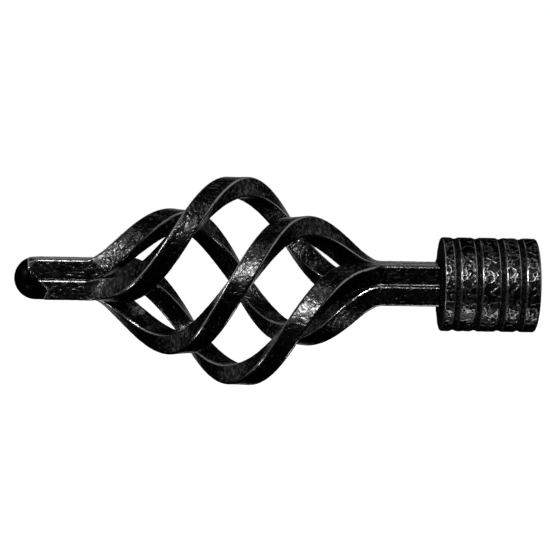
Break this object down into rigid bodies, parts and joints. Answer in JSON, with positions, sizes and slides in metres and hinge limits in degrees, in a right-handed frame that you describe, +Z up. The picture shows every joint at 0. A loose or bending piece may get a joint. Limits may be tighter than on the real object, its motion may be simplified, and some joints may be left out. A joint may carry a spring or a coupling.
{
  "type": "curtain pole finial",
  "caption": "Cage-twist finial: square bars spread from a domed tip bundle into a twisted cage and close into a stem on a grooved round socket collar that goes over a pole's end.",
  "frame": {"origin": "on the pole's axis at the seat of the collar's socket, where the pole's end bears", "axes": "+X along the pole and out of the socket's mouth, the finial points to -X; +Z up; the side that the picture shows faces -Y"},
  "size_m": [0.162, 0.065, 0.065],
  "materials": {
    "black_bar": "satin black paint with a fine grain over forged square bar",
    "black_dome": "smooth satin black paint",
    "black_collar": "satin black paint over a hammered surface",
    "black_weld": "satin black paint over a weld bead",
    "black_screw": "black oxide"
  },
  "bodies": {
    "root": {"cage_bar_1": "black_bar", "cage_bar_2": "black_bar", "cage_bar_3": "black_bar", "cage_bar_4": "black_bar", "tip_dome": "black_dome", "collar": "black_collar", "stem_weld": "black_weld", "grub_screw": "black_screw"}
  },
  "joints": []
}
